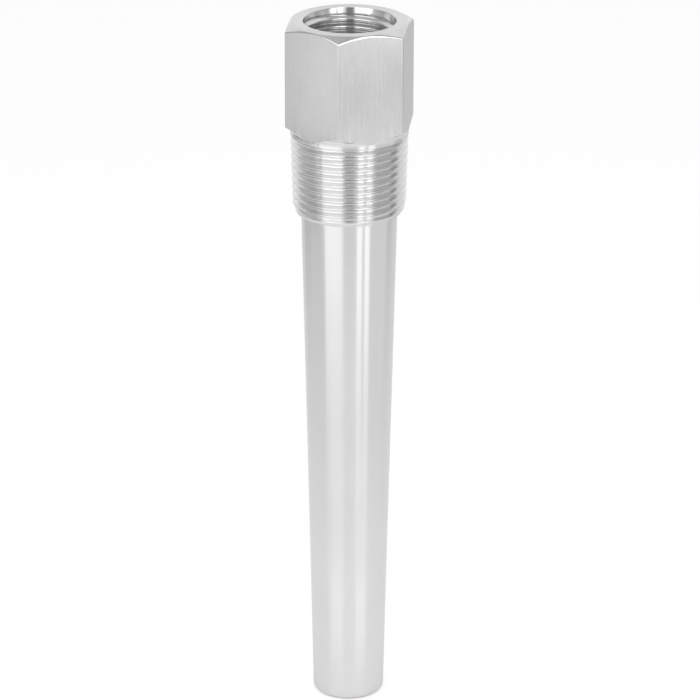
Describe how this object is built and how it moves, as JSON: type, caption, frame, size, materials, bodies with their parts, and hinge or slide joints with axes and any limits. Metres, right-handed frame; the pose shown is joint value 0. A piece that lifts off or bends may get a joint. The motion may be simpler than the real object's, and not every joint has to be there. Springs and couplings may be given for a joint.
{
  "type": "thermowell",
  "caption": "Thermowell turned from one hexagonal bar: a hexagon head with a threaded socket, a tapered pipe thread below it, and a long tapered shank with a closed flat tip.",
  "frame": {"origin": "centre of the tip's flat end face, the lowest plane of the piece", "axes": "+Z along the axis from the closed tip to the open threaded end; +X square to two flats of the hexagon; two corners of the hexagon on +Y and -Y"},
  "size_m": [0.027, 0.0312, 0.165],
  "materials": {
    "stainless_steel": "bright turned stainless steel with fine tool lines round the axis"
  },
  "bodies": {
    "root": {"thermowell": "stainless_steel"}
  },
  "joints": []
}
